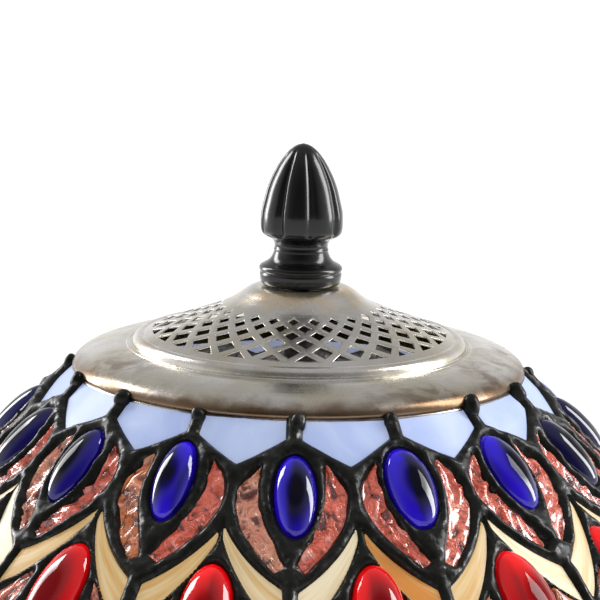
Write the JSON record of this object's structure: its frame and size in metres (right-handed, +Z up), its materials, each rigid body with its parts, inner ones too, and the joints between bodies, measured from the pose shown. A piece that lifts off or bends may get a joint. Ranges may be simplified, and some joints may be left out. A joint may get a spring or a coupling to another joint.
{
  "type": "table lamp",
  "caption": "Table lamp with a leaded mosaic glass shade under a pierced brass cap, a fluted black finial and a turned column on a round foot.",
  "frame": {"origin": "centre of the underside of the foot's felt pad, on the table", "axes": "+Z up the stem to the finial; -Y is the front, and the cord inlet is at the back, +Y"},
  "size_m": [0.4042, 0.4042, 0.6194],
  "materials": {
    "black_enamel": "gloss",
    "dark_bronze": "satin",
    "aged_brass": "aged satin",
    "brass": "satin",
    "lead_line": "dark patina on solder",
    "steel": "zinc plated",
    "iron": "rough",
    "felt": "felt",
    "phenolic": "moulded",
    "nylon": "moulded",
    "frosted_glass": "frosted",
    "opal_blue_glass": "opalescent",
    "coral_glass": "rippled",
    "cobalt_glass": "polished",
    "ruby_glass": "polished",
    "amber_glass": "opalescent"
  },
  "bodies": {
    "stand": {"base_foot": "dark_bronze", "stem_vase": "dark_bronze", "stem_column": "dark_bronze", "stem_capital": "dark_bronze", "felt_pad": "felt", "base_weight": "iron", "cord_bushing": "nylon", "rod_washer": "steel", "rod_nut": "steel", "threaded_rod": "steel", "riser_tube": "steel", "seat_washer": "steel", "finial_stud": "steel", "seat_nut": "brass", "cluster_body": "aged_brass", "cluster_arm_left": "aged_brass", "socket_cap_left": "brass", "socket_shell_left": "brass", "socket_core_left": "phenolic", "screw_shell_left": "brass", "cluster_arm_right": "aged_brass", "socket_cap_right": "brass", "socket_shell_right": "brass", "socket_core_right": "phenolic", "screw_shell_right": "brass"},
    "shade": {"vent_dome": "aged_brass", "cap_flange": "aged_brass", "aperture_ring": "brass", "opal_glass_row": "opal_blue_glass", "petal_glass_row": "coral_glass", "ruby_glass_row": "ruby_glass", "cobalt_glass_row": "cobalt_glass", "border_glass_row": "amber_glass", "lead_lattice": "lead_line", "shade_rim": "brass", "sapphire_jewel_01": "cobalt_glass", "sapphire_jewel_02": "cobalt_glass", "sapphire_jewel_03": "cobalt_glass", "sapphire_jewel_04": "cobalt_glass", "sapphire_jewel_05": "cobalt_glass", "sapphire_jewel_06": "cobalt_glass", "sapphire_jewel_07": "cobalt_glass", "sapphire_jewel_08": "cobalt_glass", "sapphire_jewel_09": "cobalt_glass", "sapphire_jewel_10": "cobalt_glass", "sapphire_jewel_11": "cobalt_glass", "sapphire_jewel_12": "cobalt_glass", "sapphire_jewel_13": "cobalt_glass", "sapphire_jewel_14": "cobalt_glass", "sapphire_jewel_15": "cobalt_glass", "sapphire_jewel_16": "cobalt_glass"},
    "finial": {"finial": "black_enamel"},
    "bulb_left": {"bulb_cap_left": "steel", "bulb_glass_left": "frosted_glass"},
    "chain_left": {"pull_chain_left": "brass", "chain_knob_left": "brass"},
    "bulb_right": {"bulb_cap_right": "steel", "bulb_glass_right": "frosted_glass"},
    "chain_right": {"pull_chain_right": "brass", "chain_knob_right": "brass"}
  },
  "joints": [
    {"name": "shade_turn", "type": "hinge", "parent": "stand", "child": "shade", "pos_m": [0, 0, 0.571], "axis": [0, 0, 1], "continuous": true},
    {"name": "finial_turn", "type": "hinge", "parent": "stand", "child": "finial", "pos_m": [0, 0, 0.571], "axis": [0, 0, 1], "continuous": true},
    {"name": "bulb_turn_left", "type": "hinge", "parent": "stand", "child": "bulb_left", "pos_m": [-0.04, 0, 0.384], "axis": [-0.5, 0, 0.866], "continuous": true},
    {"name": "chain_pull_left", "type": "slide", "parent": "stand", "child": "chain_left", "axis": [0, 0, -1], "range_m": [0, 0.012], "stiffness_N_per_m": 150, "springref_m": -0.003},
    {"name": "bulb_turn_right", "type": "hinge", "parent": "stand", "child": "bulb_right", "pos_m": [0.04, 0, 0.384], "axis": [0.5, 0, 0.866], "continuous": true},
    {"name": "chain_pull_right", "type": "slide", "parent": "stand", "child": "chain_right", "axis": [0, 0, -1], "range_m": [0, 0.012], "stiffness_N_per_m": 150, "springref_m": -0.003}
  ]
}
